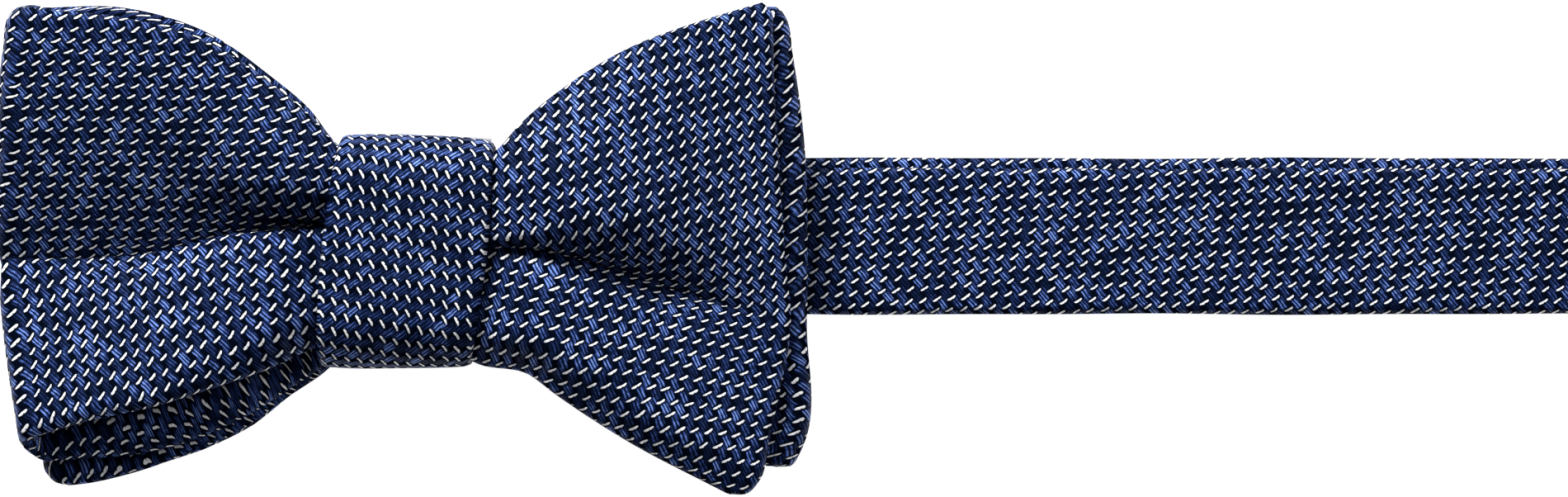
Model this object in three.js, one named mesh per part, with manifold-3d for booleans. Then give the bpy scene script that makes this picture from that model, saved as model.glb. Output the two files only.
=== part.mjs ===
// A pre-tied bow tie lying flat, unhooked, with its neck band folded behind the bow.
// Millimetres. X runs along the neck band, Y up the bow, Z out of the bow's front.
// The origin is on the underside of the rear run of the band, behind the middle of the knot.
//
// The bow is two padded strips of silk. The front strip is a flat end on the right, crosses the waist,
// folds back at the left and ends in the waist. The rear strip is the same the other way round.
// A thread gathers both at the waist, and a silk wrap covers it and guides the neck band.
// The neck band is one flat silk tube: its front run carries the slide buckle and the hook,
// and its rear run, folded under at the left, carries the eye.

import * as THREE from 'three';
import { mergeVertices } from 'three/addons/utils/BufferGeometryUtils.js';
import Module from 'manifold-3d';

const wasm = await Module();
wasm.setup();

// ---- driving dimensions -------------------------------------------------------------------------

const CLOTH_GAP = 0.3;              // between layers that lie on each other

// bow strips
const LEAF = 2.4;                   // thickness of one padded leaf
const SILK = 0.5;                   // wall of the silk in a leaf
const LINING = 1.0;                 // thickness of the interlining in a leaf
const WAIST_HALF = 11.4;            // half height of the gathered waist
const WAIST_SHARE = 0.2;            // share of a wing's length that stays as narrow as the waist
const FOLD_R = LEAF / 2 + 0.25;     // radius of a wing's fold, at the middle of the leaf
const REAR_Z = 7.3;                 // middle of the rearmost leaf at the waist
const MIDDLE_Z = REAR_Z + LEAF + CLOTH_GAP;
const FRONT_Z = MIDDLE_Z + 2 * FOLD_R;
const CREST = 2.8;                  // how far the two lobes of the front leaf stand over its pleat
const PLEAT_HALF = 3.2;             // half width of the pleat
const PLEAT_Y = 1.9;                // the pleat's height at the knot
const DROOP = 5.9;                  // how far a rear leaf's corners sink to the table

// neck band
const BAND_WIDTH = 20.4;
const BAND = 1.4;                   // thickness of the flat tube
const BAND_WALL = 0.3;
const BAND_LINING = 0.5;
const BAND_Y = 1.3;                 // middle of the front run
const REAR_RUN_Y = 2.8;             // middle of the rear run
const REAR_RUN_Z = BAND / 2;
const RUN_GAP = 1.4;                // between the two runs: room for the buckle's lower bars
const FRONT_RUN_Z = REAR_RUN_Z + BAND + RUN_GAP;
const KNOT_RUN_Z = 4.5;             // the front run where it passes over the back of the knot
const LEVEL_END_X = 28;
const RAMP_END_X = 45;
const BAND_FOLD_X = -22;            // where the band turns back under itself
const TAIL_X = 120;                 // the part of the front run that takes up the adjustment
const EYE_LOOP_X = 214;
const HOOK_LOOP_X = 184;
const BUCKLE_X = 171;

// knot
const KNOT_WIDTH = 22;
const KNOT_HALF = 16.1;             // half height, outside
const KNOT_BACK_Z = BAND + CLOTH_GAP;
const KNOT_FRONT_Z = 19.6;
const KNOT_WALL = 1.8;
const KNOT_FRONT_CORNER = 6.8;
const KNOT_BACK_CORNER = 3.4;
const KNOT_TURN = THREE.MathUtils.degToRad(-4);

// metal
const METAL = 1.0;                  // thickness of the stamped hook and eye, and of their bars
const FITTING_HALF = BAND_WIDTH / 2 + 1.9;
const RAIL = 1.4;                   // width of a fitting's side rails

// ---- materials ----------------------------------------------------------------------------------

const silkColour = new THREE.MeshStandardMaterial({ color: 0x1f2f66, roughness: 0.55, metalness: 0 });
const liningColour = new THREE.MeshStandardMaterial({ color: 0xe9e6dd, roughness: 0.95, metalness: 0 });
const threadColour = new THREE.MeshStandardMaterial({ color: 0x16214a, roughness: 0.7, metalness: 0 });
const nickel = new THREE.MeshStandardMaterial({ color: 0xc9c9c6, roughness: 0.28, metalness: 1 });

// ---- solids -------------------------------------------------------------------------------------

// A box whose grid of vertices goes to map(station, lane, layer): a closed solid, its faces pointing out.
function mappedBox(stations, lanes, layers, map) {
  const counts = [stations, lanes, layers].map((list) => list.length - 1);
  const box = new THREE.BoxGeometry(1, 1, 1, ...counts);
  const position = box.getAttribute('position');
  const pick = (list, share) => list[Math.round((share + 0.5) * (list.length - 1))];
  for (let i = 0; i < position.count; i++) {
    const station = pick(stations, position.getX(i));
    const lane = pick(lanes, position.getY(i));
    const layer = pick(layers, position.getZ(i));
    position.setXYZ(i, ...map(station, lane, layer));
  }
  return facingOut(merged(box));
}

function merged(geometry) {
  const bare = geometry.clone();
  bare.deleteAttribute('normal');
  bare.deleteAttribute('uv');
  return mergeVertices(bare, 1e-4);
}

function facingOut(geometry) {
  const position = geometry.getAttribute('position');
  const index = geometry.index.array;
  const [a, b, c] = [new THREE.Vector3(), new THREE.Vector3(), new THREE.Vector3()];
  let volume = 0;
  for (let i = 0; i < index.length; i += 3) {
    a.fromBufferAttribute(position, index[i]);
    b.fromBufferAttribute(position, index[i + 1]);
    c.fromBufferAttribute(position, index[i + 2]);
    volume += a.dot(b.cross(c));
  }
  if (volume < 0) {
    for (let i = 0; i < index.length; i += 3) {
      [index[i + 1], index[i + 2]] = [index[i + 2], index[i + 1]];
    }
  }
  return geometry;
}

function solid(geometry) {
  const closed = geometry.index && !geometry.getAttribute('normal') ? geometry : merged(geometry);
  return new wasm.Manifold(new wasm.Mesh({
    numProp: 3,
    vertProperties: new Float32Array(closed.getAttribute('position').array),
    triVerts: new Uint32Array(closed.index.array),
  }));
}

function geometryOf(manifold) {
  const mesh = manifold.getMesh();
  const geometry = new THREE.BufferGeometry();
  geometry.setAttribute('position', new THREE.BufferAttribute(new Float32Array(mesh.vertProperties), 3));
  geometry.setIndex(new THREE.BufferAttribute(new Uint32Array(mesh.triVerts), 1));
  return geometry;
}

const joined = (...geometries) => geometryOf(geometries.map(solid).reduce((all, one) => all.add(one)));
const cut = (geometry, tool) => geometryOf(solid(geometry).subtract(solid(tool)));

function box(x0, x1, y0, y1, z0, z1) {
  const geometry = new THREE.BoxGeometry(x1 - x0, y1 - y0, z1 - z0);
  return geometry.translate((x0 + x1) / 2, (y0 + y1) / 2, (z0 + z1) / 2);
}

// An outline in X and Z, drawn as [x, z] points, given a width from y0 to y1.
function plateAcross(points, y0, y1) {
  const outline = new THREE.Shape(points.map(([x, z]) => new THREE.Vector2(x, z)));
  const plate = new THREE.ExtrudeGeometry(outline, { depth: y1 - y0, bevelEnabled: false });
  return plate.rotateX(Math.PI / 2).translate(0, y1, 0);
}

function rodAcross(radius, y0, y1) {
  return new THREE.CylinderGeometry(radius, radius, y1 - y0, 12).translate(0, (y0 + y1) / 2, 0);
}

function node(name, geometry, material) {
  const mesh = new THREE.Mesh(geometry, material);
  mesh.name = name;
  return mesh;
}

const clamp01 = (t) => Math.min(1, Math.max(0, t));
const smooth = (t) => clamp01(t) ** 2 * (3 - 2 * clamp01(t));
const mix = (a, b, t) => a + (b - a) * t;

function steps(from, to, count) {
  return Array.from({ length: count + 1 }, (_, i) => mix(from, to, i / count));
}

// ---- bow strips ---------------------------------------------------------------------------------

// An edge of a leaf: its distance from the middle line, from the waist to the end of the wing.
// ease 1 is a straight flare, and a larger one bulges more near the knot.
function flare(endHeight, ease) {
  return (share) => {
    const out = clamp01((share - WAIST_SHARE) / (1 - WAIST_SHARE));
    return WAIST_HALF + (endHeight - WAIST_HALF) * (1 - (1 - out) ** ease);
  };
}

// The end of a wing, as X across the lanes: it bows out by `bulge` between its top and bottom corners.
const wingEnd = (middle, slant, bulge) => (lane) => (
  middle + slant * lane - Math.sign(middle) * bulge * lane ** 2
);

const leftFoldX = wingEnd(-56.6, -1.0, 3.2);
const leftEndX = wingEnd(-51.5, -1.2, 1.0);
const rightFoldX = wingEnd(55.6, -1.0, 2.2);
const rightEndX = wingEnd(52.0, 1.0, 1.4);

const outlines = {
  frontLeft: { top: flare(33.0, 2.5), bottom: flare(28.0, 1.45) },
  middleLeft: { top: flare(34.0, 3.2), bottom: flare(29.5, 2.7) },
  rearLeft: { top: flare(33.4, 3.0), bottom: flare(32.6, 2.1) },
  frontRight: { top: flare(34.6, 1.6), bottom: flare(34.0, 1.15) },
  middleRight: { top: flare(33.0, 1.5), bottom: flare(30.0, 1.05) },
  rearRight: { top: flare(33.2, 1.5), bottom: flare(30.4, 1.05) },
};

function across(outline, share, lane) {
  return mix(-outline.bottom(share), outline.top(share), (lane + 1) / 2);
}

// The corners of a lying bow sink towards the table; the leaf over the neck band doesn't.
const sink = (share, y) => DROOP * smooth(share / 0.8) * smooth((Math.abs(y - BAND_Y) - 12) / 19);

// The pleat leaves the knot level on the left, and runs down the wing on the right.
const pleatY = (x) => PLEAT_Y - 0.31 * Math.max(0, x - 12);

// The front leaf rises in two lobes on either side of the pleat, and lies flat at a fold.
function lobes(share, x, y, lane, atEnd) {
  const beside = 1 - Math.exp(-(((y - pleatY(x)) / PLEAT_HALF) ** 2));
  const puff = CREST + 1.4 * Math.sin(Math.PI * clamp01((share - WAIST_SHARE) / 0.65));
  return mix(puff, atEnd, smooth((share - 0.45) / 0.5)) * beside * (1 - lane ** 4);
}

// Both strips are followed by one number: 0 to 1 is the flat end, 1 to 2 the leaf from the waist
// to the fold, 2 to 3 the fold, and 3 to 4 the leaf back to the waist.
function stripPoint(strip, station, lane) {
  const leg = Math.min(3, Math.floor(Math.max(0, station)));
  const along = station - leg;
  if (leg === 0) {
    const share = 1 - along;
    const x = share * strip.endX(lane);
    const y = across(strip.endOutline, share, lane);
    return { x, y, z: strip.endHeight(share, x, y, lane), turn: 0 };
  }
  const foldX = strip.foldX(lane) - Math.sign(strip.foldX(lane)) * (FOLD_R + LEAF / 2);
  if (leg === 1) {
    const x = along * foldX;
    const y = across(strip.outLeaf, along, lane);
    return { x, y, z: strip.outHeight(along, x, y, lane), turn: 0 };
  }
  if (leg === 2) {
    const turn = along * Math.PI;
    const y = mix(across(strip.outLeaf, 1, lane), across(strip.backLeaf, 1, lane), along);
    const middle = (strip.outHeight(1, foldX, y, lane) + strip.backHeight(1, foldX, y, lane)) / 2;
    const x = foldX + Math.sign(foldX) * FOLD_R * Math.sin(turn);
    return { x, y, z: middle + strip.up * FOLD_R * Math.cos(turn), turn };
  }
  const share = 1 - along;
  const x = mix(Math.sign(foldX) * CLOTH_GAP, foldX, share);
  const y = across(strip.backLeaf, share, lane);
  return { x, y, z: strip.backHeight(share, x, y, lane), turn: Math.PI };
}

const frontStrip = {
  up: 1,
  endX: rightEndX,
  endOutline: outlines.frontRight,
  endHeight: (share, x, y, lane) => FRONT_Z + lobes(share, x, y, lane, 1.2) - 0.5 * sink(share, y),
  foldX: leftFoldX,
  outLeaf: outlines.frontLeft,
  outHeight: (share, x, y, lane) => FRONT_Z + lobes(share, x, y, lane, 0) - 0.5 * sink(share, y),
  backLeaf: outlines.middleLeft,
  backHeight: (share, x, y) => MIDDLE_Z - 0.5 * sink(share, y),
};

const rearStrip = {
  up: -1,
  endX: leftEndX,
  endOutline: outlines.rearLeft,
  endHeight: (share, x, y) => REAR_Z - sink(share, y),
  foldX: rightFoldX,
  outLeaf: outlines.rearRight,
  outHeight: (share, x, y) => REAR_Z - sink(share, y),
  backLeaf: outlines.middleRight,
  backHeight: (share, x, y) => REAR_Z + 2 * FOLD_R - sink(share, y),
};

const stripLanes = [-1, -0.7, -0.4, -0.15, 0, 0.1, 0.22, 0.4, 0.7, 1];
const stripStations = [...steps(0, 2, 10), 2.25, 2.5, 2.75, ...steps(3, 4, 5)];

// A point between two stations lies on the straight line between them, so nested solids stay nested.
function pointBetween(strip, station, lane) {
  const last = stripStations.length - 1;
  const after = stripStations.findIndex((s, i) => i === last || (i > 0 && s >= station - 1e-6));
  const [from, to] = [stripStations[after - 1], stripStations[after]];
  const t = (station - from) / (to - from);
  const [a, b] = [stripPoint(strip, from, lane), stripPoint(strip, to, lane)];
  return Object.fromEntries(Object.keys(a).map((key) => [key, mix(a[key], b[key], t)]));
}

// A strip's solid between two stations, `inset` in from its edges and `thickness` through.
function stripSolid(strip, first, last, inset, thickness) {
  const stations = [first, ...stripStations.filter((s) => s > first + 1e-6 && s < last - 1e-6), last];
  return mappedBox(stations, stripLanes, [-thickness / 2, thickness / 2], (station, lane, layer) => {
    const edge = pointBetween(strip, station, lane);
    const inner = pointBetween(strip, station, Math.sign(lane) * Math.min(Math.abs(lane), 0.7));
    const t = edge.y === inner.y ? 0 : inset / Math.abs(edge.y - inner.y);
    const outward = Math.sign(strip.foldX(lane)) * Math.sin(edge.turn) * layer;
    const up = strip.up * Math.cos(edge.turn) * layer;
    return [mix(edge.x, inner.x, t) + outward, mix(edge.y, inner.y, t), mix(edge.z, inner.z, t) + up];
  });
}

function bowStripNodes(name, strip) {
  const cavity = stripSolid(strip, 0.04, 4.02, 1.2, LEAF - 2 * SILK);
  const silk = cut(stripSolid(strip, 0, 4, 0, LEAF), cavity);
  const lining = stripSolid(strip, 0.055, 3.99, 1.7, LINING);
  return [node(`${name}_silk`, silk, silkColour), node(`${name}_interlining`, lining, liningColour)];
}

// ---- knot ---------------------------------------------------------------------------------------

// A ring round the X axis with a rounded rectangular section, seen along X.
function ring(width, halfHeight, back, front, backCorner, frontCorner, wall) {
  const rounded = (shape, inset) => {
    const [half, low, high] = [halfHeight - inset, back + inset, front - inset];
    const [r, s] = [backCorner - inset, frontCorner - inset];
    shape.moveTo(-half + r, low);
    shape.lineTo(half - r, low);
    shape.absarc(half - r, low + r, r, -Math.PI / 2, 0);
    shape.lineTo(half, high - s);
    shape.absarc(half - s, high - s, s, 0, Math.PI / 2);
    shape.lineTo(-half + s, high);
    shape.absarc(-half + s, high - s, s, Math.PI / 2, Math.PI);
    shape.lineTo(-half, low + r);
    shape.absarc(-half + r, low + r, r, Math.PI, 1.5 * Math.PI);
    return shape;
  };
  const section = rounded(new THREE.Shape(), 0);
  section.holes.push(rounded(new THREE.Path(), wall));
  const tube = new THREE.ExtrudeGeometry(section, { depth: width, bevelEnabled: false, curveSegments: 5 });
  return tube.translate(0, 0, -width / 2).rotateX(Math.PI / 2).rotateZ(Math.PI / 2);
}

// The silk is a channel that opens inwards, and the interlining lies in it.
function knotNodes() {
  const silkWall = 0.5;
  const liningWall = 0.8;
  const lip = 0.9;
  const inset = silkWall + CLOTH_GAP;
  const wrap = (width, by, wall) => ring(width, KNOT_HALF - by, KNOT_BACK_Z + by, KNOT_FRONT_Z - by,
    KNOT_BACK_CORNER - by, KNOT_FRONT_CORNER - by, wall);
  const silk = cut(wrap(KNOT_WIDTH, 0, KNOT_WALL), wrap(KNOT_WIDTH - 2 * lip, silkWall, KNOT_WALL));
  const lining = wrap(KNOT_WIDTH - 2 * lip - 2 * CLOTH_GAP, inset, liningWall);
  const seam = new THREE.CatmullRomCurve3(steps(-9, 9, 12).map((x, i) => (
    new THREE.Vector3(x, -9.3 + (i % 2 ? 0.5 : -0.5), KNOT_BACK_Z - CLOTH_GAP - 0.35))));
  const turned = new THREE.Group();
  turned.rotation.z = KNOT_TURN;
  turned.add(
    node('knot_wrap_silk', silk, silkColour),
    node('knot_wrap_interlining', lining, liningColour),
    node('knot_seam_thread', thread(seam, 0.35, 24), threadColour),
  );
  return turned;
}

function thread(curve, radius, count) {
  const round = new THREE.Shape(steps(0, 1, 6).slice(0, 6).map((t) => (
    new THREE.Vector2(radius * Math.cos(2 * Math.PI * t), radius * Math.sin(2 * Math.PI * t)))));
  return new THREE.ExtrudeGeometry(round, { steps: count, extrudePath: curve, bevelEnabled: false });
}

// Five turns of thread lie side by side as one flat winding round both strips.
function gatherThread() {
  const back = REAR_Z - LEAF / 2 - CLOTH_GAP - 0.5;
  const front = KNOT_FRONT_Z - KNOT_WALL - CLOTH_GAP;
  return node('gather_thread', ring(3, WAIST_HALF + 0.9, back, front, 1.2, 4.2, 0.5), threadColour);
}

// ---- neck band ----------------------------------------------------------------------------------

// A flat strap follows stations {x, z, turn}: turn is the way its upper face has been turned about Y,
// 0 where it faces +Z.
function strap(stations, y, width, thickness) {
  const yAt = typeof y === 'function' ? y : () => y;
  return mappedBox(stations, [-1, 1], [-thickness / 2, thickness / 2], (station, lane, layer) => [
    station.x + layer * Math.sin(station.turn),
    yAt(station) + lane * width / 2,
    station.z + layer * Math.cos(station.turn),
  ]);
}

// A half turn of a strap round a bar at (x, z): side 1 turns at the +X end, -1 at the -X end.
function halfTurn(x, z, radius, side, count) {
  return steps(0, Math.PI, count).map((angle) => ({
    x: x + side * radius * Math.sin(angle),
    z: z - radius * Math.cos(angle),
    turn: Math.PI - side * angle,
  }));
}

const level = (x, z) => ({ x, z, turn: 0 });
const upsideDown = (x, z) => ({ x, z, turn: Math.PI });

// The front run passes level over the back of the knot and comes down beyond it.
const frontRun = [
  level(BAND_FOLD_X, KNOT_RUN_Z),
  level(LEVEL_END_X, KNOT_RUN_Z),
  ...steps(0.25, 0.75, 2).map((t) => (
    level(mix(LEVEL_END_X, RAMP_END_X, t), mix(KNOT_RUN_Z, FRONT_RUN_Z, smooth(t)))
  )),
  level(RAMP_END_X, FRONT_RUN_Z),
  level(TAIL_X, FRONT_RUN_Z),
];

function lengthened(stations, by) {
  const ends = stations.map((s) => ({ ...s }));
  ends[0].x -= by;
  ends[ends.length - 1].x += by;
  return ends;
}

function tubeNodes(name, outer, cavityPath, liningPath, y) {
  const cavity = strap(cavityPath, y, BAND_WIDTH - 1.2, BAND - 2 * BAND_WALL);
  const silk = cut(strap(outer, y, BAND_WIDTH, BAND), cavity);
  const lining = strap(liningPath, y, BAND_WIDTH - 1.8, BAND_LINING);
  return [node(`${name}_silk`, silk, silkColour), node(`${name}_interlining`, lining, liningColour)];
}

function frontBandNodes() {
  return tubeNodes('front_band', frontRun, lengthened(frontRun, 1), lengthened(frontRun, -CLOTH_GAP), BAND_Y);
}

// The rear run ends in a loop round the eye's bar, turned over its end and tacked down.
const eyeBarZ = REAR_RUN_Z + METAL / 2 + 0.2 + BAND / 2;
function rearBandNodes() {
  const start = BAND_FOLD_X;
  const tackedZ = REAR_RUN_Z + BAND + CLOTH_GAP;
  const loop = halfTurn(EYE_LOOP_X, eyeBarZ, eyeBarZ - REAR_RUN_Z, 1, 6);
  const overEnd = { x: EYE_LOOP_X - 6, z: tackedZ, turn: 0 };
  const path = [
    upsideDown(start, REAR_RUN_Z),
    ...loop,
    overEnd,
    { x: EYE_LOOP_X - 12, z: tackedZ, turn: 0 },
  ];
  const straight = (from, to) => [upsideDown(from, REAR_RUN_Z), upsideDown(to, REAR_RUN_Z)];
  const liningEnd = EYE_LOOP_X - 2;
  const parts = tubeNodes('rear_band', path, straight(start - 1, liningEnd),
    straight(start + CLOTH_GAP, liningEnd - CLOTH_GAP), REAR_RUN_Y);
  const tackZ = tackedZ + BAND / 2 + 0.1;
  const x = EYE_LOOP_X - 8;
  const tack = box(x - 1, x + 1, REAR_RUN_Y - 6, REAR_RUN_Y + 6, tackZ, tackZ + 0.4);
  return [...parts, node('eye_bartack', tack, threadColour)];
}

// The crease where the band turns back under itself.
function bandFoldNode() {
  const radius = (KNOT_RUN_Z - REAR_RUN_Z) / 2;
  const turn = halfTurn(BAND_FOLD_X - CLOTH_GAP, REAR_RUN_Z + radius, radius, -1, 8);
  const y = (station) => mix(REAR_RUN_Y, BAND_Y, (station.z - REAR_RUN_Z) / (2 * radius));
  return node('band_fold', strap(turn, y, BAND_WIDTH, BAND), silkColour);
}

// ---- adjuster and hook --------------------------------------------------------------------------

const hookBarZ = FRONT_RUN_Z + BAND / 2 + METAL / 2 + 0.25;
const hookLoopR = hookBarZ - FRONT_RUN_Z;
const barZ = FRONT_RUN_Z + BAND / 2 + 1.7;      // the buckle's middle bar
const END_CLOTH = 0.8;                          // the skived end of the band, round that bar

function adjusterTail() {
  const path = [level(TAIL_X + CLOTH_GAP, FRONT_RUN_Z), level(HOOK_LOOP_X - CLOTH_GAP, FRONT_RUN_Z)];
  return node('adjuster_tail', strap(path, BAND_Y, BAND_WIDTH, BAND), silkColour);
}

function hookLoop() {
  const turn = halfTurn(HOOK_LOOP_X, hookBarZ, hookLoopR, 1, 8);
  return node('hook_loop', strap(turn, BAND_Y, BAND_WIDTH, BAND), silkColour);
}

function adjusterReturn() {
  const path = [level(BUCKLE_X + 3.6, barZ + 0.4), level(HOOK_LOOP_X - CLOTH_GAP, hookBarZ + hookLoopR)];
  return node('adjuster_return', strap(path, BAND_Y, BAND_WIDTH, BAND), silkColour);
}

function slideEndLoop() {
  const radius = 1.0;
  const turn = halfTurn(BUCKLE_X - 0.5, barZ, radius, -1, 6);
  const path = [
    upsideDown(BUCKLE_X + 3.2, barZ - radius),
    ...turn,
    { x: BUCKLE_X + 3.2, z: barZ + radius, turn: 2 * Math.PI },
  ];
  return node('slide_end_loop', strap(path, BAND_Y, BAND_WIDTH, END_CLOTH), silkColour);
}

function slideBartack() {
  const z = barZ + 1.0 + END_CLOTH / 2 + 0.1;
  const x = BUCKLE_X + 1.9;
  return node('slide_bartack', box(x - 0.8, x + 0.8, BAND_Y - 6, BAND_Y + 6, z, z + 0.4), threadColour);
}

// Three bars between two cranked side plates: the outer bars run under the band, the middle one over it.
function slideBuckle() {
  const low = FRONT_RUN_Z - BAND / 2 - CLOTH_GAP - 0.8;
  const high = barZ + 0.4;
  const foot = 6.2;                 // how far the side plates reach along the band
  const outerBarX = 5.2;
  const outerBarHalf = 0.9;
  const side = [[-foot, low], [foot, low], [foot, low + 0.8], [2.4, high], [-2.4, high], [-foot, low + 0.8]];
  const plates = [-1, 1].map((way) => {
    const y = BAND_Y + way * (FITTING_HALF - RAIL / 2);
    return plateAcross(side, y - RAIL / 2, y + RAIL / 2);
  });
  const y0 = BAND_Y - FITTING_HALF + 0.2;
  const y1 = BAND_Y + FITTING_HALF - 0.2;
  const outerBars = [-1, 1].map((way) => (
    box(way * outerBarX - outerBarHalf, way * outerBarX + outerBarHalf, y0, y1, low, low + 0.8)
  ));
  const middleBar = box(-0.7, 0.7, y0, y1, barZ - 0.4, barZ + 0.4);
  return node('slide_buckle', joined(...plates, ...outerBars, middleBar).translate(BUCKLE_X, 0, 0), nickel);
}

// A ring round its bar at the origin, reaching out along +X.
function fittingRing(length) {
  const plate = box(-RAIL / 2, length, -FITTING_HALF, FITTING_HALF, -METAL / 2, METAL / 2);
  const window = box(-RAIL, length - 1.8, -FITTING_HALF + RAIL, FITTING_HALF - RAIL, -METAL, METAL);
  const bar = rodAcross(METAL / 2, -FITTING_HALF + RAIL / 2, FITTING_HALF - RAIL / 2);
  return joined(cut(plate, window), bar);
}

// The hook's tongue goes on from the ring, curls up at its tip and comes back over itself.
function hook() {
  const reach = 13.2;
  const curl = 1.4;
  const tongueWidth = 9;
  const path = [
    level(5.2, 0),
    ...halfTurn(reach, curl, curl, 1, 6),
    { x: 8.6, z: 2 * curl + 0.25, turn: 0 },
  ];
  path[0].turn = Math.PI;
  const tongue = strap(path, 0, tongueWidth, METAL);
  const made = node('hook', joined(fittingRing(6.4), tongue), nickel);
  made.position.set(HOOK_LOOP_X, BAND_Y, hookBarZ);
  made.rotation.y = THREE.MathUtils.degToRad(10);
  return made;
}

function eye() {
  const made = node('eye', fittingRing(11.2), nickel);
  made.position.set(EYE_LOOP_X, REAR_RUN_Y, eyeBarZ);
  made.rotation.y = THREE.MathUtils.degToRad(7.5);
  return made;
}

// ---- the bow tie --------------------------------------------------------------------------------

const bowTie = new THREE.Group();
bowTie.add(
  ...bowStripNodes('front_bow', frontStrip),
  ...bowStripNodes('rear_bow', rearStrip),
  gatherThread(),
  knotNodes(),
  ...frontBandNodes(),
  ...rearBandNodes(),
  bandFoldNode(),
  adjusterTail(),
  hookLoop(),
  adjusterReturn(),
  slideEndLoop(),
  slideBartack(),
  slideBuckle(),
  hook(),
  eye(),
);

export default bowTie;
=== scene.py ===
# The looks of a pre-tied bow tie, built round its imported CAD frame.
# Shapes are worked out in millimetres and stored in metres.

import math

import bpy
import numpy as np
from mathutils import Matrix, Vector


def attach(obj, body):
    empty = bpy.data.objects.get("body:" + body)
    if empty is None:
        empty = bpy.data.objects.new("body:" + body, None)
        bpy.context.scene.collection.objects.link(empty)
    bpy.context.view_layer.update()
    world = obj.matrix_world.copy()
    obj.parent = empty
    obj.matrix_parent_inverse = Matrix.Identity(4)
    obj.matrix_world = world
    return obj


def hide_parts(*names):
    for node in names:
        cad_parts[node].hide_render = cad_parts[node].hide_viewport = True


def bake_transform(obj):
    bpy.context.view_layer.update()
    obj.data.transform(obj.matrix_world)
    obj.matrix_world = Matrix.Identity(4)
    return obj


MM = 0.001
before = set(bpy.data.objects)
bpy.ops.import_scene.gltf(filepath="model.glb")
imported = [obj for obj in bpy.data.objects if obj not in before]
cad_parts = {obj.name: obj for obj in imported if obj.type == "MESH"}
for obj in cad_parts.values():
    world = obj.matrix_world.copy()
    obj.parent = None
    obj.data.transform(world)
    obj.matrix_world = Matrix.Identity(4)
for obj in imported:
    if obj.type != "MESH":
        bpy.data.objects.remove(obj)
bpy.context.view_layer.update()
scene = bpy.context.scene

# ---- camera -------------------------------------------------------------------------------------

VIEW_CENTRE = (52.35, 0.3)
VIEW_WIDTH = 218.5
FOCUS_HEIGHT = 10.0
LENS = 200.0
SENSOR = 36.0

camera_data = bpy.data.cameras.new("camera")
camera_data.lens = LENS
camera_data.sensor_width = SENSOR
camera_data.clip_start = 0.01
camera_data.clip_end = 20
camera = bpy.data.objects.new("camera", camera_data)
camera.location = (
    VIEW_CENTRE[0] * MM,
    VIEW_CENTRE[1] * MM,
    (FOCUS_HEIGHT + VIEW_WIDTH * LENS / SENSOR) * MM,
)
scene.collection.objects.link(camera)
scene.camera = camera


# ---- node materials -----------------------------------------------------------------------------


class Value:
    """A socket of a node tree that can be used in a formula."""

    def __init__(self, tree, socket):
        self.tree = tree
        self.socket = socket

    def _math(self, operation, *others, clamp=False):
        node = self.tree.nodes.new("ShaderNodeMath")
        node.operation = operation
        node.use_clamp = clamp
        for slot, value in zip(node.inputs, (self, *others)):
            connect(self.tree, value, slot)
        return Value(self.tree, node.outputs[0])

    def __add__(self, other):
        return self._math("ADD", other)

    def __sub__(self, other):
        return self._math("SUBTRACT", other)

    def __mul__(self, other):
        return self._math("MULTIPLY", other)

    def __truediv__(self, other):
        return self._math("DIVIDE", other)

    __radd__ = __add__
    __rmul__ = __mul__

    def __rsub__(self, other):
        return self * -1.0 + other

    def __pow__(self, other):
        return self._math("POWER", other)

    def abs(self):
        return self._math("ABSOLUTE")

    def floor(self):
        return self._math("FLOOR")

    def cos(self):
        return self._math("COSINE")

    def clamped(self):
        return self._math("ADD", 0.0, clamp=True)

    def larger(self, other):
        return self._math("MAXIMUM", other)

    def smooth(self, low, high):
        node = self.tree.nodes.new("ShaderNodeMapRange")
        node.interpolation_type = "SMOOTHSTEP"
        node.inputs["From Min"].default_value = low
        node.inputs["From Max"].default_value = high
        self.tree.links.new(self.socket, node.inputs["Value"])
        return Value(self.tree, node.outputs["Result"])


def connect(tree, value, slot):
    """Put a formula or a plain number into a node's slot."""
    if isinstance(value, Value):
        tree.links.new(value.socket, slot)
    else:
        slot.default_value = value


def new_material(name):
    material = bpy.data.materials.new(name)
    material.use_nodes = True
    tree = material.node_tree
    tree.nodes.clear()
    shader = tree.nodes.new("ShaderNodeBsdfPrincipled")
    output = tree.nodes.new("ShaderNodeOutputMaterial")
    tree.links.new(shader.outputs[0], output.inputs["Surface"])
    return material, tree, shader


def add_bump(tree, shader, height, strength, depth):
    """Let a height raise the surface by up to this depth in millimetres."""
    bump = tree.nodes.new("ShaderNodeBump")
    bump.inputs["Strength"].default_value = strength
    bump.inputs["Distance"].default_value = depth * MM
    connect(tree, height, bump.inputs["Height"])
    tree.links.new(bump.outputs[0], shader.inputs["Normal"])


def vector_of(tree, *parts):
    node = tree.nodes.new("ShaderNodeCombineXYZ")
    for slot, value in zip(node.inputs, parts):
        connect(tree, value, slot)
    return node.outputs[0]


def cloth_position(tree):
    """The place on the cloth, in millimetres along and across its grain."""
    uv = tree.nodes.new("ShaderNodeUVMap")
    uv.uv_map = "grain"
    parts = tree.nodes.new("ShaderNodeSeparateXYZ")
    tree.links.new(uv.outputs[0], parts.inputs[0])
    return Value(tree, parts.outputs[0]), Value(tree, parts.outputs[1])


def noise(tree, vector, scale, detail=2.0, roughness=0.5):
    node = tree.nodes.new("ShaderNodeTexNoise")
    node.inputs["Scale"].default_value = scale
    node.inputs["Detail"].default_value = detail
    node.inputs["Roughness"].default_value = roughness
    tree.links.new(vector, node.inputs["Vector"])
    return Value(tree, node.outputs[0])


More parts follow.
